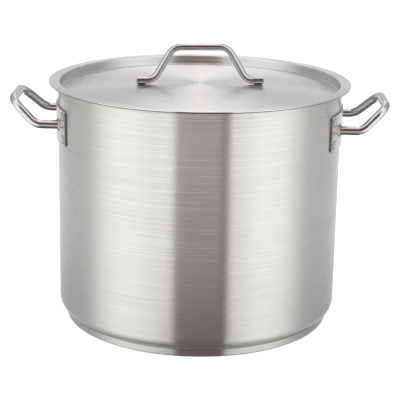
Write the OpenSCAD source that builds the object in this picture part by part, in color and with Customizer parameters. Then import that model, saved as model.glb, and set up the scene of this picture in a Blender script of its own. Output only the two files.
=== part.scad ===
// Stock pot with a drawn steel shell, an encapsulated aluminium base, two bar
// handles on riveted plates, and a lift-off lid with a bar handle.
// Millimetres, +Z up. The origin is at the centre of the base's underside, and
// the side handles lie along X.

/* [Pot] */
// Outside diameter of the shell
body_d = 320; // [310:1:330]
// Height of the rim above the surface that the pot stands on
rim_z = 272.3; // [265:0.5:290]
// Thickness of the shell's sheet
shell_t = 0.8; // [0.7:0.1:1]
// Outside radius of the corner between the wall and the bottom
corner_r = 12; // [10:1:16]
// Radius of the rounded lip along the rim
rim_r = 1.5; // [1.2:0.1:1.5]

/* [Base] */
// Outside diameter of the cap that wraps the base
base_d = 304; // [298:1:306]
// Height of the shell's underside above the surface
base_h = 9.2; // [8:0.2:12]
// Thickness of the cap's sheet
cap_t = 0.8; // [0.6:0.1:1]
// Width of the groove between the cap's edge and the shell
seam_gap = 0.7; // [0.4:0.1:1]
// Radius of the cap's lower edge
cap_edge_r = 1.6; // [1.2:0.1:2]

/* [Side handles] */
// Diameter of the handle bar
bar_d = 10; // [8:0.5:11]
// Distance between the two ends of the bar where they meet the plate
bar_spread = 92; // [84:1:96]
// Length of the bar's grip from corner to corner
grip_w = 70; // [60:1:76]
// Height of the bar's ends above the surface
handle_z = 228.5; // [200:0.5:235]
// Rise of the grip above the bar's ends
handle_rise = 25; // [15:1:30]
// Distance of the first bend from the pot's axis
bend_x = 181; // [178:1:186]
// Distance of the grip from the pot's axis
grip_x = 207.5; // [204:0.5:212]
// Radius of the bar's bends, along its middle
bend_r = 19; // [14:1:20]

/* [Handle plates] */
// Angle from the plate's middle to its end, about the pot's axis
plate_half_angle = 26; // [25:0.5:30]
// Height of a plate
plate_h = 40; // [38:1:46]
// Thickness of a plate
plate_t = 2; // [1.5:0.1:3]
// Radius of a plate's corners
plate_corner_r = 4; // [2:0.5:6]

/* [Rivets] */
// Diameter of a rivet's outer head
rivet_head_d = 10; // [8:0.5:10]
// Height of a rivet's outer head
rivet_head_h = 1.3; // [0.8:0.1:2]
// Diameter of a rivet's shank
rivet_shank_d = 5; // [4:0.5:6]
// Diameter of the flat head inside the pot
rivet_inner_d = 9; // [8:0.5:10]
// Height of the flat head inside the pot
rivet_inner_h = 0.9; // [0.6:0.1:1.5]
// Angle from the plate's middle to its rivets
rivet_angle = 23.2; // [22:0.1:23.2]
// Distance between the upper and lower rivets
rivet_spacing = 25; // [22:0.5:26]

/* [Lid] */
// Outside diameter of the lid's flange
lid_d = 340.2; // [336:0.2:346]
// Thickness of the lid's sheet
lid_t = 0.8; // [0.6:0.1:0.9]
// Depth of the recess below the flange
lid_depth = 10.6; // [8:0.2:14]
// Rise of the lid's middle above the foot of its wall
lid_rise = 7; // [4:0.5:8]
// Clearance between the lid's wall and the inside of the shell
lid_clearance = 0.8; // [0.6:0.1:1.2]
// Turn of the lid on the pot
lid_turn = 5.5; // [0:0.5:90]

/* [Lid handle] */
// Diameter of the lid's handle bar
lid_bar_d = 8; // [6:0.5:9]
// Distance between the ends of the two feet
lid_handle_l = 144; // [136:1:160]
// Distance between the bends where the feet turn up
lid_leg_spread = 104.6; // [100:0.2:110]
// Length of the lid handle's grip from corner to corner
lid_grip_l = 61.6; // [56:0.2:68]
// Rise of the grip above the feet, from middle to middle
lid_grip_rise = 37.5; // [30:0.5:42]
// Radius of the lid handle's bends, along the bar's middle
lid_bend_r = 15; // [12:0.5:16]

/* [Hidden] */
$fn = 96;
smooth_fn = 720;        // for a large cylinder that trims a small piece

body_r = body_d / 2;
base_r = base_d / 2;
lid_r = lid_d / 2;
bar_r = bar_d / 2;
lid_bar_r = lid_bar_d / 2;
slip = 0.1;             // gap between pieces that lie against each other
rest_gap = 0.3;         // gap between the lid and the pot
arc_steps = 8;          // straight pieces in a sheet's bend
bend_lap = 0.5;         // how far a bar's straight reaches into a bend
bend_swell = 0.03;      // how much fatter the bar is round a bend
plate_out_r = body_r + slip + plate_t;
handle_right = 1;
handle_left = -1;
front = -1;
rear = 1;
steel = [0.78, 0.78, 0.77];
polished = [0.86, 0.86, 0.86];
alloy = [0.66, 0.67, 0.69];
weld_grey = [0.55, 0.53, 0.50];

// Points of an arc about c, from angle a0 to a1.
function arc(c, r, a0, a1) = [
    for (i = [0:arc_steps])
        let (a = a0 + (a1 - a0) * i / arc_steps) c + r * [cos(a), sin(a)]
];
function unit(v) = v / norm(v);

// ---------------------------------------------------------------- round bars

// Straight stretch of bar from a to b.
module bar_run(a, b, r) {
    d = b - a;
    translate(a)
        rotate([0, acos(d[2] / norm(d)), atan2(d[1], d[0])])
            cylinder(r = r, h = norm(d));
}

// Bend at corner p, between the corners before and after it.
module bar_bend(before, p, after, bend, r) {
    u = unit(p - before);
    v = unit(after - p);
    turn = acos(u * v);
    n = unit(cross(u, v));
    side = cross(n, u);
    start = p - u * bend * tan(turn / 2);
    centre = start + side * bend;
    out = -side;
    multmatrix([
        [out[0], u[0], n[0], centre[0]],
        [out[1], u[1], n[1], centre[1]],
        [out[2], u[2], n[2], centre[2]],
        [0, 0, 0, 1],
    ])
        rotate_extrude(angle = turn) translate([bend, 0]) circle(r = r);
}

// Length of a corner's bend along each of its two straights.
function bend_reach(before, p, after, bend) =
    bend * tan(acos(unit(p - before) * unit(after - p)) / 2);

// Round bar along a route of corners, bent to one radius, as far as corner i + 1.
// Each straight laps a little way into the bends beside it.
module bent_bar_to(route, bend, r, i) {
    last = len(route) - 1;
    u = unit(route[i + 1] - route[i]);
    from = i == 0 ? 0 : bend_reach(route[i - 1], route[i], route[i + 1], bend) - bend_lap;
    to = i + 1 == last ? 0 : bend_reach(route[i], route[i + 1], route[i + 2], bend) - bend_lap;
    if (i > 0)
        union() {
            bent_bar_to(route, bend, r, i - 1);
            bar_bend(route[i - 1], route[i], route[i + 1], bend, r + bend_swell);
        }
    bar_run(route[i] + u * from, route[i + 1] - u * to, r);
}

module bent_bar(route, bend, r) {
    bent_bar_to(route, bend, r, len(route) - 2);
}

// ----------------------------------------------------------------- the pot

// Everything that belongs to one rivet's place: side is the handle, end is the
// front or rear of its plate, and level is 1 for the upper row, -1 for the lower.
module at_rivet(side, end, level) {
    middle = side == handle_right ? 0 : 180;
    turn = side * end * rivet_angle;
    rotate([0, 0, middle + turn])
        translate([0, 0, handle_z + level * rivet_spacing / 2])
            rotate([0, 90, 0])
                children();
}

module at_each_rivet() {
    for (side = [handle_left, handle_right], end = [front, rear], level = [-1, 1])
        at_rivet(side, end, level) children();
}

// Half of the shell's section: bottom, corner, wall and lip.
module shell_section() {
    outer_c = [body_r - corner_r, base_h + corner_r];
    polygon(concat(
        [[0, base_h]],
        arc(outer_c, corner_r, -90, 0),
        [[body_r, rim_z - rim_r], [body_r - shell_t, rim_z - rim_r]],
        arc(outer_c, corner_r - shell_t, 0, -90),
        [[0, base_h + shell_t]]
    ));
    translate([body_r - shell_t + rim_r, rim_z - rim_r])
        circle(r = rim_r);
}

module pot_shell() {
    color(steel)
        difference() {
            rotate_extrude() shell_section();
            at_each_rivet()
                translate([0, 0, body_r - 10])
                    cylinder(d = rivet_shank_d + slip, h = 20);
        }
}

// Aluminium disc that spreads the heat, sealed between the shell and the cap.
module base_core() {
    color(alloy)
        translate([0, 0, cap_t])
            cylinder(r = base_r - 2 * cap_t, h = base_h - cap_t);
}

// Steel cup that wraps the aluminium disc from below.
module base_cap() {
    top = base_h - seam_gap;
    wall_in = base_r - 2 * cap_t + slip;
    color(steel)
        rotate_extrude()
            polygon(concat(
                [[0, 0]],
                arc([base_r - cap_edge_r, cap_edge_r], cap_edge_r, -90, 0),
                arc([base_r - 0.7, top - 0.7], 0.7, 0, 90),
                [[wall_in, top], [wall_in, cap_t], [0, cap_t]]
            ));
}

// -------------------------------------------------------------- side handles

// Rectangle with rounded corners, in the plane of the page.
module rounded_plate(w, h, r) {
    square([w - 2 * r, h], center = true);
    square([w, h - 2 * r], center = true);
    for (x = [-1, 1], y = [-1, 1])
        translate([x * (w / 2 - r), y * (h / 2 - r)]) circle(r = r);
}

// Plate bent to the shell's curve, with four rivet holes.
module plate(side) {
    width = 2 * plate_out_r * sin(plate_half_angle);
    near = body_r * cos(plate_half_angle) - 10;
    color(polished)
        difference() {
            intersection() {
                translate([0, 0, handle_z - plate_h])
                    difference() {
                        cylinder(r = plate_out_r, h = 2 * plate_h);
                        translate([0, 0, -1])
                            cylinder(r = body_r + slip, h = 2 * plate_h + 2);
                    }
                translate([side * near, 0, handle_z])
                    rotate([90, 0, side * 90])
                        linear_extrude(height = body_r - near + 20)
                            rounded_plate(width, plate_h, plate_corner_r);
            }
            for (end = [front, rear], level = [-1, 1])
                at_rivet(side, end, level)
                    translate([0, 0, body_r - 10])
                        cylinder(d = rivet_shank_d + slip, h = 20);
        }
}

// Corners of one handle's bar, from its rear end round to its front end.
function handle_route(side) = [
    for (p = [
        [body_r * cos(plate_half_angle), bar_spread / 2, 0],
        [bend_x, bar_spread / 2, 0],
        [grip_x, grip_w / 2, handle_rise],
        [grip_x, -grip_w / 2, handle_rise],
        [bend_x, -bar_spread / 2, 0],
        [body_r * cos(plate_half_angle), -bar_spread / 2, 0],
    ]) [side * p[0], p[1], handle_z + p[2]]
];

// Bar bent into a loop, its ends cut to the plate's curve.
module side_handle(side) {
    color(polished)
        difference() {
            bent_bar(handle_route(side), bend_r, bar_r);
            translate([0, 0, handle_z - bar_d])
                cylinder(r = plate_out_r, h = 2 * bar_d);
        }
}

// Weld bead round one end of a bar, where it meets the plate.
module handle_weld(side, end) {
    bead_w = 2.4;
    bead_h = 2;
    below = 2;
    lean = asin(bar_spread / 2 / plate_out_r);
    color(weld_grey)
        difference() {
            rotate([0, 0, side * end * lean])
                translate([side * (plate_out_r - below), 0, handle_z])
                    rotate([0, side * 90, 0])
                        cylinder(r1 = bar_r + bead_w * 2, r2 = bar_r + slip, h = bead_h + below);
            translate([side * (plate_out_r - 30), end * bar_spread / 2, handle_z])
                rotate([0, side * 90, 0])
                    cylinder(r = bar_r, h = 60);
            translate([0, 0, handle_z - 2 * bar_d])
                cylinder(r = plate_out_r, h = 4 * bar_d, $fn = smooth_fn);
        }
}

// Rivet through the plate and the shell, with a low domed head outside and a
// flat head inside. Its own axis is Z, with the pot's axis at 0.
module rivet(side, end, level) {
    head_from = plate_out_r;
    inner_from = sqrt(pow(body_r - shell_t, 2) - pow(rivet_inner_d / 2, 2)) - rivet_inner_h;
    edge = 0.4;
    color(polished)
        at_rivet(side, end, level)
            rotate_extrude()
                polygon(concat(
                    [[0, inner_from]],
                    [[rivet_inner_d / 2 - edge, inner_from]],
                    [[rivet_inner_d / 2, inner_from + edge]],
                    [[rivet_inner_d / 2, inner_from + rivet_inner_h]],
                    [[rivet_shank_d / 2, inner_from + rivet_inner_h]],
                    [[rivet_shank_d / 2, head_from]],
                    [[rivet_head_d / 2, head_from]],
                    [[rivet_head_d / 2, head_from + edge]],
                    [
                        for (i = [0:arc_steps])
                            let (a = 90 * i / arc_steps)
                                [(rivet_head_d / 2 - edge / 2) * cos(a),
                                 head_from + edge + (rivet_head_h - edge) * sin(a)]
                    ]
                ));
}

// ------------------------------------------------------------------- the lid

flange_top = rim_z + rest_gap + lid_t;
hem_r = 1.1;                                    // rounded edge of the flange
wall_bend_r = 2;                                // top bend between flange and wall
foot_bend_r = 1.4;                              // hollow corner at the wall's foot
lid_wall_r = body_r - shell_t - lid_clearance - lid_t;
lid_foot_r = lid_wall_r - 0.7;                  // the wall leans in by this much
lid_floor_z = flange_top - lid_depth;
lid_floor_r = lid_foot_r - foot_bend_r;
lid_dome_power = 1.5;                           // between a cone, 1, and a dish, 2
dome_steps = 14;

// Height of the lid's upper face at a distance from its middle.
function lid_face_z(r) = lid_floor_z + lid_rise * (1 - pow(r / lid_floor_r, lid_dome_power));

// Half of the lid's section: crowned middle, wall, flange and hem.
module lid_section() {
    bend_c = [lid_wall_r + wall_bend_r, flange_top - wall_bend_r];
    foot_c = [lid_foot_r - foot_bend_r, lid_floor_z + foot_bend_r];
    top_side = concat(
        [for (i = [0:dome_steps]) let (r = lid_floor_r * i / dome_steps) [r, lid_face_z(r)]],
        arc(foot_c, foot_bend_r, -90, 0),
        arc(bend_c, wall_bend_r, 180, 90)
    );
    hem_c = [lid_r - hem_r, flange_top - hem_r];
    hem_end = -180 - asin((hem_r - lid_t) / hem_r);
    hem = concat(arc(hem_c, hem_r, 90, -45), arc(hem_c, hem_r, -60, hem_end));
    under_side = concat(
        arc(bend_c, wall_bend_r - lid_t, 90, 180),
        arc(foot_c, foot_bend_r + lid_t, 0, -90),
        [
            for (i = [dome_steps:-1:0])
                let (r = lid_floor_r * i / dome_steps) [r, lid_face_z(r) - lid_t]
        ]
    );
    polygon(concat(top_side, hem, under_side));
}

module lid_pan() {
    color(steel) rotate_extrude() lid_section();
}

lid_foot_z = lid_face_z(lid_leg_spread / 2 - 4) + lid_bar_r + slip / 2;

function lid_handle_route() = [
    [-lid_handle_l / 2, 0, lid_foot_z],
    [-lid_leg_spread / 2, 0, lid_foot_z],
    [-lid_grip_l / 2, 0, lid_foot_z + lid_grip_rise],
    [lid_grip_l / 2, 0, lid_foot_z + lid_grip_rise],
    [lid_leg_spread / 2, 0, lid_foot_z],
    [lid_handle_l / 2, 0, lid_foot_z],
];

module lid_handle() {
    color(polished)
        rotate([0, 0, lid_turn])
            bent_bar(lid_handle_route(), lid_bend_r, lid_bar_r);
}

// Weld pad under one foot of the lid's handle.
module lid_weld(side) {
    pad_w = 4;
    pad_l = 9;
    pad_x = lid_handle_l / 2 - pad_l / 2 - 1.5;
    low = lid_face_z(pad_x + pad_l / 2) - lid_t / 2;
    color(weld_grey)
        rotate([0, 0, lid_turn])
            difference() {
                translate([side * pad_x, 0, low])
                    linear_extrude(height = lid_foot_z - lid_bar_r * 0.7 - low)
                        rounded_plate(pad_l, pad_w, pad_w / 2 - 0.1);
                rotate_extrude() lid_section();
                translate([side * (pad_x - pad_l), 0, lid_foot_z])
                    rotate([0, side * 90, 0])
                        cylinder(r = lid_bar_r, h = 2 * pad_l);
            }
}

pot_shell();
base_core();
base_cap();
plate(handle_left);  // plate_left
plate(handle_right);  // plate_right
side_handle(handle_left);  // side_handle_left
side_handle(handle_right);  // side_handle_right
handle_weld(handle_left, front);  // weld_left_front
handle_weld(handle_left, rear);  // weld_left_rear
handle_weld(handle_right, front);  // weld_right_front
handle_weld(handle_right, rear);  // weld_right_rear
rivet(handle_left, front, 1);  // rivet_left_front_upper
rivet(handle_left, front, -1);  // rivet_left_front_lower
rivet(handle_left, rear, 1);  // rivet_left_rear_upper
rivet(handle_left, rear, -1);  // rivet_left_rear_lower
rivet(handle_right, front, 1);  // rivet_right_front_upper
rivet(handle_right, front, -1);  // rivet_right_front_lower
rivet(handle_right, rear, 1);  // rivet_right_rear_upper
rivet(handle_right, rear, -1);  // rivet_right_rear_lower
lid_pan();
lid_handle();
lid_weld(-1);  // lid_weld_left
lid_weld(1);  // lid_weld_right
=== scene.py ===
"""A drawn steel stock pot: sandwich base, looped bar handles on riveted plates, and a lift-off lid."""
import math

import bmesh
import bpy
from mathutils import Matrix, Vector, noise


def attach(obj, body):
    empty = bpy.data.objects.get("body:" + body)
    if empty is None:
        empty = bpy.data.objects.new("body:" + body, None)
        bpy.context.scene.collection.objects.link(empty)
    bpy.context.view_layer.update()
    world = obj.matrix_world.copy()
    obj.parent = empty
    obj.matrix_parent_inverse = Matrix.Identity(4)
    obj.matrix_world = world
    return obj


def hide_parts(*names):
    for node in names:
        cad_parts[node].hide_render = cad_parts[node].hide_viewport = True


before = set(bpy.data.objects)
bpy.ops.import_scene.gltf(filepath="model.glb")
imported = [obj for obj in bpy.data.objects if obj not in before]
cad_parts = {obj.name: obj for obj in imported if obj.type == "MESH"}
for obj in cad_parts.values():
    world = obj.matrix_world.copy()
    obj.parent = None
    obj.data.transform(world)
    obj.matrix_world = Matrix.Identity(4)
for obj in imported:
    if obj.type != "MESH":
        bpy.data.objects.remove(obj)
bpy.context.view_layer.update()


# ------------------------------------------------------------------ the camera
# A long lens well back from the pot and a little above its rim, tipped down so that the lid's
# face shows as a flat oval. The pot is turned a touch, so its right handle stands nearer.
lens_mm = 116.41
camera_back = 1.4394
camera_up = 0.5536
pot_turn, aim_right, aim_down, roll = (math.radians(a) for a in (0.9, 0.09, 16.34, 1.04))

camera_data = bpy.data.cameras.new("studio_camera")
camera_data.lens = lens_mm
camera_data.sensor_width = 36
camera_data.clip_end = 50
camera = bpy.data.objects.new("studio_camera", camera_data)
bpy.context.collection.objects.link(camera)
camera.matrix_world = (
    Matrix.Rotation(pot_turn, 4, "Z")
    @ Matrix.Translation((0, -camera_back, camera_up))
    @ Matrix.Rotation(-aim_right, 4, "Z")
    @ Matrix.Rotation(math.pi / 2 - aim_down, 4, "X")
    @ Matrix.Rotation(roll, 4, "Z")
)
bpy.context.scene.camera = camera


# ------------------------------------------------------------------ the studio
# A white sweep with two tall softboxes in front, a dark gap between them where the
# photographer stands, a light overhead and a plain pale floor. Steel shows what is round it.
class Wire:
    """One socket of a finish. Sums on it add Math nodes, and add() adds any other node."""

    def __init__(self, tree, socket=None):
        self.tree, self.socket = tree, socket

    def add(self, kind, settings, sockets, take=0):
        node = self.tree.nodes.new(kind)
        for name, value in settings.items():
            if name == "stops":
                while len(node.color_ramp.elements) < len(value):
                    node.color_ramp.elements.new(0.5)
                for stop, (position, colour) in zip(node.color_ramp.elements, value):
                    stop.position, stop.color = position, (*colour, 1)
            else:
                setattr(node, name, value)
        for name, value in sockets.items():
            if isinstance(value, Wire):
                self.tree.links.new(value.socket, node.inputs[name])
            else:
                node.inputs[name].default_value = value
        return Wire(self.tree, node.outputs[take]) if len(node.outputs) else None

    def beside(self, name):
        """Another output of the same node."""
        return Wire(self.tree, self.socket.node.outputs[name])

    def sum(self, operation, *values):
        return self.add("ShaderNodeMath", {"operation": operation}, dict(enumerate(values)))

    def __add__(self, other):
        return self.sum("ADD", self, other)

    def __sub__(self, other):
        return self.sum("SUBTRACT", self, other)

    def __rsub__(self, other):
        return self.sum("SUBTRACT", other, self)

    def __mul__(self, other):
        return self.sum("MULTIPLY", self, other)

    def __truediv__(self, other):
        return self.sum("DIVIDE", self, other)

    __radd__ = __add__
    __rmul__ = __mul__

    def fade(self, start, end, low=0.0, high=1.0):
        """Goes softly from low to high as this goes from start to end."""
        return self.add("ShaderNodeMapRange", {"interpolation_type": "SMOOTHSTEP"},
                        {"Value": self, "From Min": start, "From Max": end,
                         "To Min": low, "To Max": high})

    def blend(self, first, second):
        """Colour first where this is 0, colour second where it is 1."""
        return self.add("ShaderNodeMix", {"data_type": "RGBA"}, {0: self, 6: first, 7: second}, 2)


# Brightness of what stands round the pot, by angle from straight in front: 90 is on the right.
surround = [
    (-180, 0.78), (-155, 0.64), (-132, 0.49), (-112, 0.48), (-97, 0.62), (-88, 1.02),
    (-70, 1.48), (-50, 1.46), (-32, 1.24), (-22, 1.06), (-18.6, 0.92), (-17.2, 0.15),
    (18, 0.14), (25.2, 0.06), (26.6, 0.90), (30, 1.10), (52, 1.50), (72, 1.42),
    (88, 0.96), (97, 0.58), (112, 0.47), (132, 0.46), (155, 0.64), (180, 0.78),
]
brightest = 2.5
overhead = 1.58
lamp_lean = 0.3
lamp_off_centre = 0.01
lamp_spill = 0.14
white = (1, 1, 1, 1)
gap_tint = (1, 0.66, 0.68, 1)

world = bpy.data.worlds.new("soft_studio")
world.use_nodes = True
world.node_tree.nodes.clear()
bpy.context.scene.world = world
bpy.context.scene.view_settings.view_transform = "Standard"
sky = Wire(world.node_tree)
toward = sky.add("ShaderNodeTexCoord", {}, {}, "Generated")
east = sky.add("ShaderNodeSeparateXYZ", {}, {"Vector": toward})
angle = sky.sum("ARCTAN2", east, 0 - east.beside("Y"))
ring = sky.add("ShaderNodeValToRGB",
               {"stops": [(a / 360 + 0.5, (b / brightest,) * 3) for a, b in surround]},
               {"Fac": angle / (2 * math.pi) + 0.5})
above = east.beside("Z") + east.beside("Y") * lamp_lean
off_middle = sky.sum("ABSOLUTE", east + lamp_off_centre)
lamp = above.fade(0.58, 0.70) * off_middle.fade(0.03, 0.18, 1.0, lamp_spill)
round_about = ring * brightest
glow = round_about + lamp * (overhead - round_about)
seen = sky.add("ShaderNodeLightPath", {}, {}, "Is Camera Ray")
strength = glow + seen * (1 - glow)
# The tint follows the ring alone, so it warms the lamp above the gap as well as the gap.
warm = ring.fade(0.14, 0.07) * (1 - seen)
tint = warm.blend(white, gap_tint)
light = sky.add("ShaderNodeBackground", {}, {"Color": tint, "Strength": strength})
sky.add("ShaderNodeOutputWorld", {}, {"Surface": light})

# The camera sees the floor white. The steel sees it dim, with a gloss at a low angle: that dim glow is
# painted light and shade, darker near the pot with a dark streak, brighter further off and to the sides.
MM = 0.001
floor_half = 6
floor_drop = 0.2 * MM
seen_tone, seen_glow = 0.60, 0.80
gap_origin = -0.08
streak_from, streak_to, streak_depth = (0.30, 0.36), (0.46, 0.44), 0.5
gloss_tone, gloss_rough = 0.82, 0.06

floor_mesh = bmesh.new()
bmesh.ops.create_grid(floor_mesh, x_segments=1, y_segments=1, size=floor_half,
                      matrix=Matrix.Translation((0, 0, -floor_drop)))
floor_data = bpy.data.meshes.new("studio_floor")
floor_mesh.to_mesh(floor_data)
floor_mesh.free()
floor = bpy.data.objects.new("studio_floor", floor_data)
bpy.context.collection.objects.link(floor)
paint = bpy.data.materials.new("pale_floor")
paint.use_nodes = True
paint.node_tree.nodes.clear()
floor_wire = Wire(paint.node_tree)
spot = floor_wire.add("ShaderNodeTexCoord", {}, {}, "Object")
from_pot = floor_wire.add("ShaderNodeVectorMath", {"operation": "LENGTH"}, {0: spot}, "Value")
matt = floor_wire.add("ShaderNodeBsdfDiffuse", {}, {"Color": (*[seen_tone] * 3, 1)})
self_lit = floor_wire.add("ShaderNodeEmission", {}, {"Color": white, "Strength": seen_glow})
lit = floor_wire.add("ShaderNodeAddShader", {}, {0: matt, 1: self_lit})
across = floor_wire.add("ShaderNodeSeparateXYZ", {}, {"Vector": spot})
floor_angle = floor_wire.sum("ARCTAN2", across, gap_origin - across.beside("Y"))
dark_streak = floor_angle.fade(*streak_from) * floor_angle.fade(*streak_to) * streak_depth
in_front = from_pot.fade(0.19, 0.75, 0.03, 0.85) * (1 - dark_streak)
aside = floor_wire.sum("ABSOLUTE", floor_angle).fade(0.42, 0.62)
near_foot = from_pot.fade(0.21, 0.155, 0.0, 0.10)
shade = near_foot + in_front + aside * (from_pot.fade(0.17, 0.50, 0.10, 0.40) - in_front)
dim = floor_wire.add("ShaderNodeEmission", {}, {"Color": white, "Strength": shade})
gloss = floor_wire.add("ShaderNodeBsdfGlossy", {},
                       {"Color": (*[gloss_tone] * 3, 1), "Roughness": gloss_rough})
slant = floor_wire.add("ShaderNodeLayerWeight", {}, {"Blend": 0.5}, "Facing")
dark = floor_wire.add("ShaderNodeEmission", {}, {"Strength": 0.0})
gloss = floor_wire.add("ShaderNodeMixShader", {}, {0: slant.fade(0.06, 0.42), 1: dark, 2: gloss})
dim = floor_wire.add("ShaderNodeAddShader", {}, {0: dim, 1: gloss})
direct = floor_wire.add("ShaderNodeLightPath", {}, {}, "Is Camera Ray")
both = floor_wire.add("ShaderNodeMixShader", {}, {0: direct, 1: dim, 2: lit})
floor_wire.add("ShaderNodeOutputMaterial", {}, {"Surface": both})
floor_data.materials.append(paint)


# --------------------------------------------------------------- the pot's shell
# One sheet of stainless steel drawn to a deep round pan, its corner rounded by the press and
# its rim rolled to a lip. It is brushed on a lathe, so fine lines run round it.
body_r = 160 * MM
rim_z = 272.3 * MM
shell_t = 0.8 * MM
corner_r = 12 * MM
lip_r = 1.5 * MM
base_h = 9.2 * MM


def turned(name, corners, steps=384):
    """Spins a half section, (radius, height, rounding) at each corner, round the pot's axis."""
    section = bmesh.new()
    points = [section.verts.new((r, 0, z)) for r, z, _ in corners]
    for near, far in zip(points, points[1:]):
        section.edges.new((near, far))
    for point, (_, _, rounding) in zip(points, corners):
        if rounding:
            bmesh.ops.bevel(section, geom=[point], offset=rounding, offset_type="OFFSET",
                            segments=8, profile=0.5, affect="VERTICES", material=-1)
    bmesh.ops.spin(section, geom=section.verts[:] + section.edges[:], axis=(0, 0, 1),
                   cent=(0, 0, 0), steps=steps, angle=2 * math.pi, use_merge=True)
    return piece(name, section)


def piece(name, mesh, join=0.000001):
    """Turns a worked mesh into a closed, smooth piece with its faces outwards."""
    bmesh.ops.remove_doubles(mesh, verts=mesh.verts, dist=join)
    bmesh.ops.recalc_face_normals(mesh, faces=mesh.faces)
    for face in mesh.faces:
        face.smooth = True
    for fold in mesh.edges:
        fold.smooth = len(fold.link_faces) < 2 or fold.calc_face_angle() < math.radians(50)
    data = bpy.data.meshes.new(name)
    mesh.to_mesh(data)
    mesh.free()
    made = bpy.data.objects.new(name, data)
    bpy.context.collection.objects.link(made)
    flats = made.modifiers.new("flats stay flat", "WEIGHTED_NORMAL")
    flats.weight = 50
    flats.keep_sharp = True
    return made


def metal(name):
    """A new finish, and the place on the piece as a vector and as its three distances."""
    finish = bpy.data.materials.new(name)
    finish.use_nodes = True
    finish.node_tree.nodes.clear()
    start = Wire(finish.node_tree)
    place = start.add("ShaderNodeTexCoord", {}, {}, "Object")
    x = start.add("ShaderNodeSeparateXYZ", {}, {"Vector": place})
    return finish, start, place, x, x.beside("Y"), x.beside("Z")


def grain(wire, vector, scale=1.0, detail=3.0, rough=0.55):
    """Soft noise from 0 to 1."""
    return wire.add("ShaderNodeTexNoise", {},
                    {"Vector": vector, "Scale": scale, "Detail": detail, "Roughness": rough})


def steel_out(wire, colour, roughness, bumps, height, grooves=0.0):
    """Joins the last wires of a metal: colour, roughness and a bump so many metres high."""
    bump = wire.add("ShaderNodeBump", {}, {"Strength": 1.0, "Distance": height, "Height": bumps})
    shade = wire.add("ShaderNodeBsdfPrincipled", {},
                     {"Base Color": colour, "Roughness": roughness, "Metallic": 1.0,
                      "Anisotropic": grooves, "Anisotropic Rotation": 0.25 if grooves else 0.0,
                      "Normal": bump})
    wire.add("ShaderNodeOutputMaterial", {}, {"Surface": shade})


def lathe_brushed(name, tone, roughness, grooves, line, depth, edge=1.0, fold=0.0, gloss=0.72):
    """Steel brushed as it turned: lines a given distance apart run round the axis.

    Past the edge it is rubbed to a gloss, and below the height of the fold it is painted near black: painted
    shade for the shadow beneath the edge."""
    finish, wire, place, x, y, z = metal(name)
    out = x.sum("SQRT", x * x + y * y)
    along = z + out

    def lines(gap, drift):
        at = wire.add("ShaderNodeCombineXYZ", {}, {0: x * drift, 1: y * drift, 2: along * (1 / gap)})
        return grain(wire, at)

    fine = lines(line, 20.0)
    broad = lines(line * 3.5, 8.0)
    smear = grain(wire, place, 11.0, 4.0)
    worn = grain(wire, place, 46.0, 5.0).fade(0.56, 0.74)
    dark = tuple(c * 0.955 for c in tone)
    light = tuple(c * 1.035 for c in tone)
    streak = fine * 0.55 + broad * 0.45
    colour = streak.fade(0.3, 0.7).blend((*dark, 1), (*light, 1))
    rough = roughness + (fine - 0.5) * 0.08 + (broad - 0.5) * 0.28 + (smear - 0.5) * 0.04 + worn * 0.02
    rim = out.fade(edge - 0.3 * MM, edge)
    # Painted shade: near the edge and below the fold height the colour goes almost black, standing in for
    # the shadow beneath the edge.
    shadow = rim * z.fade(fold + 0.2 * MM, fold - 0.2 * MM)
    colour = (shadow * 0.85).blend(colour, (0.05, 0.05, 0.05, 1))
    rough = rough * (1 - rim * gloss)
    steel_out(wire, colour, rough, fine * 0.7 + broad * 0.3, depth, grooves)
    return finish


shell = turned("pot_shell_drawn", [
    (0, base_h, 0), (body_r, base_h, corner_r),
    (body_r, rim_z - 2 * lip_r, 0.4 * MM),
    (body_r - shell_t + 2 * lip_r, rim_z - 2 * lip_r, lip_r * 0.99),
    (body_r - shell_t + 2 * lip_r, rim_z, lip_r * 0.99),
    (body_r - shell_t, rim_z, lip_r * 0.99),
    (body_r - shell_t, base_h + shell_t, corner_r - shell_t),
    (0, base_h + shell_t, 0),
])
shell.data.materials.append(
    lathe_brushed("shell_brushed", (0.63, 0.62, 0.605), 0.31, 1.0, 0.45 * MM, 0.003 * MM))
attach(shell, "pot")
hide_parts("pot_shell")


# ---------------------------------------------------------------- the heat spreader
# A plain rolled aluminium disc, sealed between the shell and the cap. It never shows unless
# the base is cut open, and keeps its rolled skin.
core_finish, wire, place, x, y, z = metal("rolled_aluminium")
roll_lines = grain(wire, wire.add("ShaderNodeCombineXYZ", {}, {0: x * 900, 1: y * 8, 2: z * 8}))
steel_out(wire, roll_lines.fade(0.3, 0.7).blend((0.66, 0.67, 0.68, 1), (0.78, 0.79, 0.80, 1)),
          0.42 + (roll_lines - 0.5) * 0.15, roll_lines, 0.01 * MM)
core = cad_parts["base_core"]
core.data.materials.clear()
core.data.materials.append(core_finish)


# -------------------------------------------------------------------- the base cap
# A shallow steel cup pressed over the aluminium disc and brazed to the pot. Its edge stops
# short of the shell, which leaves a dark groove, and its underside is turned flat.
base_r = 152 * MM
cap_t = 0.8 * MM
cap_edge_r = 1.6 * MM
seam_gap = 0.7 * MM

cap_top = base_h - seam_gap
cap = turned("base_cap_pressed", [
    (0, 0, 0), (base_r, 0, cap_edge_r), (base_r, cap_top, 0.65 * MM),
    (base_r - 2 * cap_t + 0.1 * MM, cap_top, 0),
    (base_r - 2 * cap_t + 0.1 * MM, cap_t, 0), (0, cap_t, 0),
])
# Its finish paints the cap's rounded bottom edge near black below 1 mm: painted shade for the contact shadow
# at the floor.
cap.data.materials.append(
    lathe_brushed("base_turned", (0.54, 0.535, 0.52), 0.30, 1.0, 0.6 * MM, 0.004 * MM,
                  edge=base_r - 2 * MM, fold=1.0 * MM, gloss=0))
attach(cap, "pot")
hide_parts("base_cap")


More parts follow.
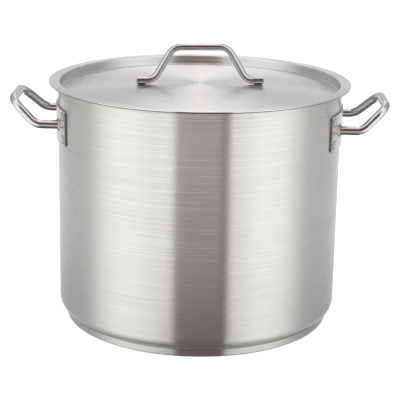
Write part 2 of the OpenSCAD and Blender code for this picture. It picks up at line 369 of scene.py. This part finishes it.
# -------------------------------------------------------------- the handle plates
# Two strips of 2 mm sheet with rounded corners, rolled to the shell's curve and riveted to
# it. Welding and riveting left straw-coloured heat marks on the bright face.
plate_in_r = body_r + 0.1 * MM
plate_t = 2 * MM
plate_h = 40 * MM
plate_half_angle = math.radians(26)
plate_corner_r = 4 * MM
handle_z = 228.5 * MM
sides = {"left": -1, "right": 1}
ends = {"front": -1, "rear": 1}


def plate_mesh(side):
    """Cuts a flat blank, gives it its thickness and eased edges, and rolls it to the shell."""
    outer = plate_in_r + plate_t
    half = plate_half_angle * outer
    blank = bmesh.new()
    corners = [blank.verts.new((x, 0, z)) for x, z in
               ((-half, -plate_h / 2), (half, -plate_h / 2), (half, plate_h / 2), (-half, plate_h / 2))]
    blank.faces.new(corners)
    bmesh.ops.bevel(blank, geom=corners, offset=plate_corner_r, offset_type="OFFSET",
                    segments=8, profile=0.5, affect="VERTICES", material=-1)
    cuts = 48
    for i in range(1, cuts):
        bmesh.ops.bisect_plane(blank, geom=blank.verts[:] + blank.edges[:] + blank.faces[:],
                               plane_co=(half * (2 * i / cuts - 1), 0, 0), plane_no=(1, 0, 0))
    face = bmesh.ops.extrude_face_region(blank, geom=blank.faces[:])["geom"]
    bmesh.ops.translate(blank, vec=(0, plate_t, 0),
                        verts=[g for g in face if isinstance(g, bmesh.types.BMVert)])
    bmesh.ops.remove_doubles(blank, verts=blank.verts, dist=0.00001)
    bmesh.ops.recalc_face_normals(blank, faces=blank.faces)
    rims = [e for e in blank.edges if len(e.link_faces) == 2
            and e.calc_face_angle() > math.radians(60)]
    bmesh.ops.bevel(blank, geom=rims, offset=0.35 * MM, offset_type="OFFSET", segments=3,
                    profile=0.5, affect="EDGES", material=-1)
    for v in blank.verts:
        turn, out = v.co.x / outer, plate_in_r + v.co.y
        v.co = (side * out * math.cos(turn), out * math.sin(turn), v.co.z + handle_z)
    return blank


def spots(wire, place, centres, small, large):
    """1 at any of the given places, fading to 0 at the larger distance from it."""
    found = None
    for centre in centres:
        away = wire.add("ShaderNodeVectorMath", {"operation": "DISTANCE"}, {0: place, 1: centre},
                        "Value")
        mark = away.fade(large, small)
        found = mark if found is None else found.sum("MAXIMUM", found, mark)
    return found


rivet_angle = math.radians(23.2)
rivet_rows = (241 * MM, 216 * MM)
bar_end_y = 46 * MM
plate_out_r = plate_in_r + plate_t
plate_finish, wire, place, x, y, z = metal("plate_half_bright")
folded = wire.add("ShaderNodeVectorMath", {"operation": "ABSOLUTE"}, {0: place})
wander = grain(wire, place, 320.0, 3.0)
mark_at = (147.4 * MM, 67.2 * MM, 229.5 * MM)
burn = spots(wire, folded, [mark_at], 0.6 * MM, 4.2 * MM) * wander.fade(0.25, 0.6, 0.55, 1.0)
bar_at = (155.4 * MM, bar_end_y, handle_z)
straw = spots(wire, folded, [bar_at], 7.0 * MM, 13.0 * MM) * wander.fade(0.2, 0.7, 0.4, 1.0)
sheet = grain(wire, wire.add("ShaderNodeCombineXYZ", {}, {0: x * 12, 1: y * 12, 2: z * 1500}))
smear = grain(wire, place, 40.0, 4.0)
bright = sheet.fade(0.3, 0.7).blend((0.50, 0.495, 0.485, 1), (0.60, 0.595, 0.585, 1))
warmed = (straw * 0.45).blend(bright, (0.56, 0.44, 0.29, 1))
burnt = (burn * 0.85).blend(warmed, (0.30, 0.17, 0.08, 1))
heads = [(plate_out_r * math.cos(rivet_angle), plate_out_r * math.sin(rivet_angle), row_z)
         for row_z in rivet_rows]
# Painted shade: a near-black ring round each rivet head on the plate, for the shadow in the crease at the
# head's edge.
shade_and_grime = spots(wire, folded, heads, 5.0 * MM, 6.4 * MM) * wander.fade(0.2, 0.6, 0.4, 1.0)
shaded_round_heads = (shade_and_grime * 0.75).blend(burnt, (0.10, 0.095, 0.09, 1))
right = wire.add("ShaderNodeSeparateXYZ", {}, {"Vector": folded})
past_end = wire.sum("ARCTAN2", right.beside("Y"), right).fade(math.radians(25.78), math.radians(25.93))
past_side = wire.sum("ABSOLUTE", z - handle_z).fade(19.75 * MM, 19.93 * MM)
# Painted shade: the plate's edge faces, past its ends and sides, are darkened towards near black for the
# shadow along its rim.
edge_shade = wire.sum("MAXIMUM", past_end, past_side)
edge_shaded = (edge_shade * 0.6).blend(shaded_round_heads, (0.12, 0.12, 0.12, 1))
steel_out(wire, edge_shaded, 0.20 + (smear - 0.5) * 0.10 + (sheet - 0.5) * 0.06 + burn * 0.12,
          sheet, 0.004 * MM)

for name, side in sides.items():
    plate = piece(f"plate_{name}_rolled", plate_mesh(side))
    plate.data.materials.append(plate_finish)
    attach(plate, "pot")
    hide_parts(f"plate_{name}")


# --------------------------------------------------------------- the side handles
# Two lengths of 10 mm round bar bent to a loop, rising towards the hand. Their ends are cut
# to the plate's curve, and the bar is polished bright with a few lengthwise drawing lines.
bar_r = 5 * MM
bend_r = 19 * MM
loop = [(143.8, 46, 0), (181, 46, 0), (207.5, 35, 25), (207.5, -35, 25), (181, -46, 0), (143.8, -46, 0)]


def bent_bar(route, bend, radius, around=48):
    """Draws a round bar along a route of corners, each bent to one radius. Gives its end rings."""
    bar = bmesh.new()
    heading = (route[1] - route[0]).normalized()
    stance = Matrix.Translation(route[0]) @ heading.to_track_quat("Z", "Y").to_matrix().to_4x4()
    first = bmesh.ops.create_circle(bar, cap_ends=False, segments=around, radius=radius,
                                    matrix=stance)["verts"]
    last, here = first, route[0]
    for i in range(1, len(route)):
        if i + 1 < len(route):
            coming, going = (route[i] - route[i - 1]).normalized(), (route[i + 1] - route[i]).normalized()
            turn = coming.angle(going)
            reach = bend * math.tan(turn / 2)
            stop = route[i] - coming * reach
        else:
            stop = route[i]
        inside = set(last)
        made = bmesh.ops.extrude_edge_only(
            bar, edges=[e for e in bar.edges if e.verts[0] in inside and e.verts[1] in inside])["geom"]
        last = [g for g in made if isinstance(g, bmesh.types.BMVert)]
        bmesh.ops.translate(bar, vec=stop - here, verts=last)
        here = stop
        if i + 1 < len(route):
            axis = coming.cross(going).normalized()
            centre = here + axis.cross(coming) * bend
            inside = set(last)
            rim = [e for e in bar.edges if e.verts[0] in inside and e.verts[1] in inside]
            spun = bmesh.ops.spin(bar, geom=last + rim, axis=axis, cent=centre, steps=18,
                                  angle=turn)["geom_last"]
            last = [g for g in spun if isinstance(g, bmesh.types.BMVert)]
            here = route[i] + going * reach
    return bar, first, last


def close_ends(bar, rings):
    """Closes a bar's open rings, each with one face."""
    for verts in rings:
        inside = set(verts)
        bmesh.ops.contextual_create(
            bar, geom=[e for e in bar.edges if e.verts[0] in inside and e.verts[1] in inside])


bar_finish, wire, place, x, y, z = metal("bar_polished")
drawn = grain(wire, wire.add("ShaderNodeCombineXYZ", {}, {0: x * 60, 1: y * 14, 2: z * 700}), 1.0, 2.0)
haze = grain(wire, place, 90.0, 5.0)
nicks = grain(wire, place, 420.0, 2.0).fade(0.66, 0.74)
steel_out(wire, drawn.fade(0.35, 0.65).blend((0.51, 0.51, 0.51, 1), (0.58, 0.58, 0.575, 1)),
          0.11 + haze * 0.05 + nicks * 0.15 + (drawn - 0.5) * 0.04, drawn + nicks * -0.5, 0.006 * MM)

for name, side in sides.items():
    route = [Vector((side * px * MM, py * MM, handle_z + pz * MM)) for px, py, pz in loop]
    bar, first, last = bent_bar(route, bend_r, bar_r)
    for v in first + last:
        v.co.x = side * (math.sqrt(plate_out_r ** 2 - v.co.y ** 2) - 0.05 * MM)
    close_ends(bar, (first, last))
    handle = piece(f"side_handle_{name}_bar", bar)
    handle.data.materials.append(bar_finish)
    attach(handle, "pot")
    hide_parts(f"side_handle_{name}")


# ------------------------------------------------------------------- the bar welds
# A fillet of weld runs round each bar end where it meets the plate. The torch left small
# overlapping ripples, dull grey with straw and blue heat colours.
def bead_mesh(section, steps, ripples, swell):
    """Spins a bead's section round its own axis, Z, and ripples it as a torch does."""
    bead = bmesh.new()
    points = [bead.verts.new((r * MM, 0, h * MM)) for r, h in section]
    for near, far in zip(points, points[1:] + points[:1]):
        bead.edges.new((near, far))
    bmesh.ops.spin(bead, geom=bead.verts[:] + bead.edges[:], axis=(0, 0, 1), cent=(0, 0, 0),
                   steps=steps, angle=2 * math.pi, use_merge=True)
    inner = min(r for r, _ in section) * MM
    for v in bead.verts:
        flat = Vector((v.co.x, v.co.y, 0))
        out = flat.length
        if out > inner * 1.02 and v.co.z > 0:
            wave = abs(math.sin(math.atan2(v.co.y, v.co.x) * ripples / 2))
            lump = 1 + swell * (wave - 0.6) + 0.02 * noise.noise(v.co * 900)
            v.co = Vector((v.co.x * lump, v.co.y * lump, v.co.z * (1 + swell * 2 * (wave - 0.6))))
    return bead


weld_finish, wire, place, x, y, z = metal("weld_tinted")
lumps = grain(wire, place, 900.0, 4.0)
heat = grain(wire, place, 160.0, 2.0)
dull = lumps.fade(0.3, 0.7).blend((0.30, 0.295, 0.285, 1), (0.44, 0.43, 0.42, 1))
gold = (heat.fade(0.45, 0.62) * 0.35).blend(dull, (0.48, 0.38, 0.25, 1))
tinted = (heat.fade(0.42, 0.30) * 0.3).blend(gold, (0.30, 0.32, 0.37, 1))
# The lid's welds, which lie nearer the axis, are painted near black: painted shadow under the handle's feet.
foot_shadow = (x * x + y * y).fade(0.012, 0.010)
steel_out(wire, (foot_shadow * 0.8).blend(tinted, (0.06, 0.06, 0.06, 1)),
          0.30 + (lumps - 0.5) * 0.20 + foot_shadow * 0.15, lumps, 0.06 * MM)

bar_bead = [(4.85, 1.75), (5.3, 1.85), (6.0, 1.45), (6.7, 0.75), (7.3, 0.05), (7.2, -0.5), (4.85, -0.5)]
for name, side in sides.items():
    for end, forward in ends.items():
        bead = bead_mesh(bar_bead, 96, 20, 0.02)
        bmesh.ops.rotate(bead, verts=bead.verts, cent=(0, 0, 0), matrix=Matrix.Rotation(math.pi / 2, 3, "Y"))
        for v in bead.verts:
            px, py, pz = v.co.x, v.co.y + forward * bar_end_y, v.co.z + handle_z
            v.co = (side * (math.sqrt(plate_out_r ** 2 - py ** 2) + px), py, pz)
        weld = piece(f"weld_{name}_{end}_bead", bead)
        weld.data.materials.append(weld_finish)
        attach(weld, "pot")
        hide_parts(f"weld_{name}_{end}")


# ----------------------------------------------------------------------- the rivets
# Four steel rivets through each plate and the shell: a low domed head outside, and a flat
# head inside the pot.
head_r, head_h, shank_r, flat_r, flat_h = 5 * MM, 1.3 * MM, 2.5 * MM, 4.5 * MM, 0.9 * MM
flat_from = math.sqrt((body_r - shell_t) ** 2 - flat_r ** 2) - flat_h
edge = 0.4 * MM
dome = [(0.96 * head_r * math.cos(a), plate_out_r + edge + (head_h - edge) * math.sin(a), 0)
        for a in (math.radians(11.25 * i) for i in range(9))]
rivet_section = [
    (0, flat_from, 0), (flat_r, flat_from, edge), (flat_r, flat_from + flat_h, 0),
    (shank_r, flat_from + flat_h, 0), (shank_r, plate_out_r, 0), (head_r, plate_out_r, 0),
    (head_r, plate_out_r + edge, edge * 0.4), *dome]

rivet_finish, wire, place, x, y, z = metal("rivet_satin")
rubbed = grain(wire, place, 500.0, 4.0)
shade_and_grime = grain(wire, place, 60.0, 3.0)
steel_out(wire, rubbed.fade(0.3, 0.7).blend((0.46, 0.455, 0.45, 1), (0.58, 0.575, 0.565, 1)),
          0.22 + (rubbed - 0.5) * 0.14 + (shade_and_grime - 0.5) * 0.08, rubbed, 0.012 * MM)

for name, side in sides.items():
    for end, forward in ends.items():
        for level, row_z in zip(("upper", "lower"), rivet_rows):
            rivet = turned(f"rivet_{name}_{end}_{level}_headed", rivet_section, 48)
            facing = (0 if side > 0 else math.pi) + side * forward * rivet_angle
            rivet.data.transform(Matrix.Translation((0, 0, row_z)) @ Matrix.Rotation(facing, 4, "Z")
                                 @ Matrix.Rotation(math.pi / 2, 4, "Y"))
            rivet.data.materials.append(rivet_finish)
            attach(rivet, "pot")
            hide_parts(f"rivet_{name}_{end}_{level}")


# ----------------------------------------------------------------------- the lid's pan
# A disc of thin steel pressed in one piece: a crowned middle, a wall that drops into the
# pot's mouth, and a flange that rests on the rim with its edge rolled under.
lid_t = 0.8 * MM
flange_top = rim_z + 0.3 * MM + lid_t
lid_r = 170.06 * MM
hem_r = 1.1 * MM
lid_wall_r = 157.6 * MM
lid_foot_r = 156.9 * MM
lid_floor_z = flange_top - 10.6 * MM
lid_floor_r = 155.5 * MM
lid_rise = 7 * MM


def crown(r):
    """Height of the lid's face at a distance from its middle."""
    return lid_floor_z + lid_rise * (1 - min(1, r / lid_floor_r) ** 1.5)


crown_steps = [lid_floor_r * (i / 26) for i in range(26)]
pan = turned("lid_pan_pressed", [
    *[(r, crown(r), 0) for r in crown_steps],
    (lid_floor_r - 1.5 * MM, crown(lid_floor_r - 1.5 * MM), 0),
    (lid_foot_r, lid_floor_z, 1.35 * MM),
    (lid_wall_r, flange_top, 2 * MM),
    (lid_r, flange_top, hem_r * 0.99), (lid_r, flange_top - 2 * hem_r, hem_r * 0.99),
    (lid_r - 2.0 * MM, flange_top - 2 * hem_r, 0.5 * MM),
    (lid_r - 2.2 * MM, flange_top - lid_t, 0.3 * MM),
    (lid_wall_r + lid_t, flange_top - lid_t, 1.2 * MM),
    (lid_foot_r + lid_t, lid_floor_z - lid_t, 2.15 * MM),
    (lid_floor_r - 1.5 * MM, crown(lid_floor_r - 1.5 * MM) - lid_t, 0),
    *[(r, crown(r) - lid_t, 0) for r in reversed(crown_steps)],
])
# Its finish paints the lower half of the rolled edge near black: painted shade for the shadow under the
# flange.
pan.data.materials.append(
    lathe_brushed("lid_brushed", (0.695, 0.69, 0.68), 0.29, 1.0, 0.5 * MM, 0.003 * MM,
                  edge=lid_r - 0.7 * MM, fold=flange_top - hem_r))
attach(pan, "lid")
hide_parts("lid_pan")


# --------------------------------------------------------------------- the lid's handle
# One length of 8 mm round bar bent to a trapezium. Its two ends lie flat along the lid as
# feet and are welded there. It is polished, with fine lines along the bar.
lid_bar_r = 4 * MM
lid_bend_r = 15 * MM
lid_turn = math.radians(5.5)
foot_z = crown(48.3 * MM) + lid_bar_r + 0.05 * MM
grip_z = foot_z + 37.5 * MM
lid_route = [(-72, foot_z), (-52.3, foot_z), (-30.8, grip_z), (30.8, grip_z), (52.3, foot_z), (72, foot_z)]

lid_bar_finish, wire, place, x, y, z = metal("lid_bar_polished")
drawn = grain(wire, wire.add("ShaderNodeCombineXYZ", {}, {0: x * 20, 1: y * 1100, 2: z * 1100}), 1.0, 2.0)
haze = grain(wire, place, 80.0, 5.0)
steel_out(wire, drawn.fade(0.35, 0.65).blend((0.49, 0.49, 0.49, 1), (0.56, 0.56, 0.555, 1)),
          0.13 + haze * 0.05 + (drawn - 0.5) * 0.05, drawn, 0.004 * MM)

bar, first, last = bent_bar([Vector((px * MM, 0, pz)) for px, pz in lid_route], lid_bend_r, lid_bar_r)
close_ends(bar, (first, last))
tips = [e for e in bar.edges if any(len(f.verts) > 4 for f in e.link_faces)]
bmesh.ops.bevel(bar, geom=tips, offset=0.7 * MM, offset_type="OFFSET", segments=4, profile=0.5,
                affect="EDGES", material=-1)
bmesh.ops.rotate(bar, verts=bar.verts, cent=(0, 0, 0), matrix=Matrix.Rotation(lid_turn, 3, "Z"))
lid_handle = piece("lid_handle_bar", bar)
lid_handle.data.materials.append(lid_bar_finish)
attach(lid_handle, "lid")
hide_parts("lid_handle")


# ----------------------------------------------------------------------- the lid's welds
# Each foot is held by a short run of weld along its underside, next to the tip.
# It has the bar welds' finish, which paints it near black as painted shadow under the foot.
for name, side in sides.items():
    run = bmesh.new()
    bmesh.ops.create_uvsphere(run, u_segments=40, v_segments=20, radius=1)
    middle = Vector((side * 66 * MM, 0, crown(66 * MM) + 0.2 * MM))
    for v in run.verts:
        lump = 1 + 0.05 * math.sin(v.co.x * 16) + 0.04 * noise.noise(v.co * 4)
        v.co = Vector((v.co.x * 4.5 * MM, v.co.y * 3.1 * MM * lump, v.co.z * 1.7 * MM)) + middle
    bmesh.ops.rotate(run, verts=run.verts, cent=(0, 0, 0), matrix=Matrix.Rotation(lid_turn, 3, "Z"))
    weld = piece(f"lid_weld_{name}_bead", run)
    weld.data.materials.append(weld_finish)
    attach(weld, "lid")
    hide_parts(f"lid_weld_{name}")
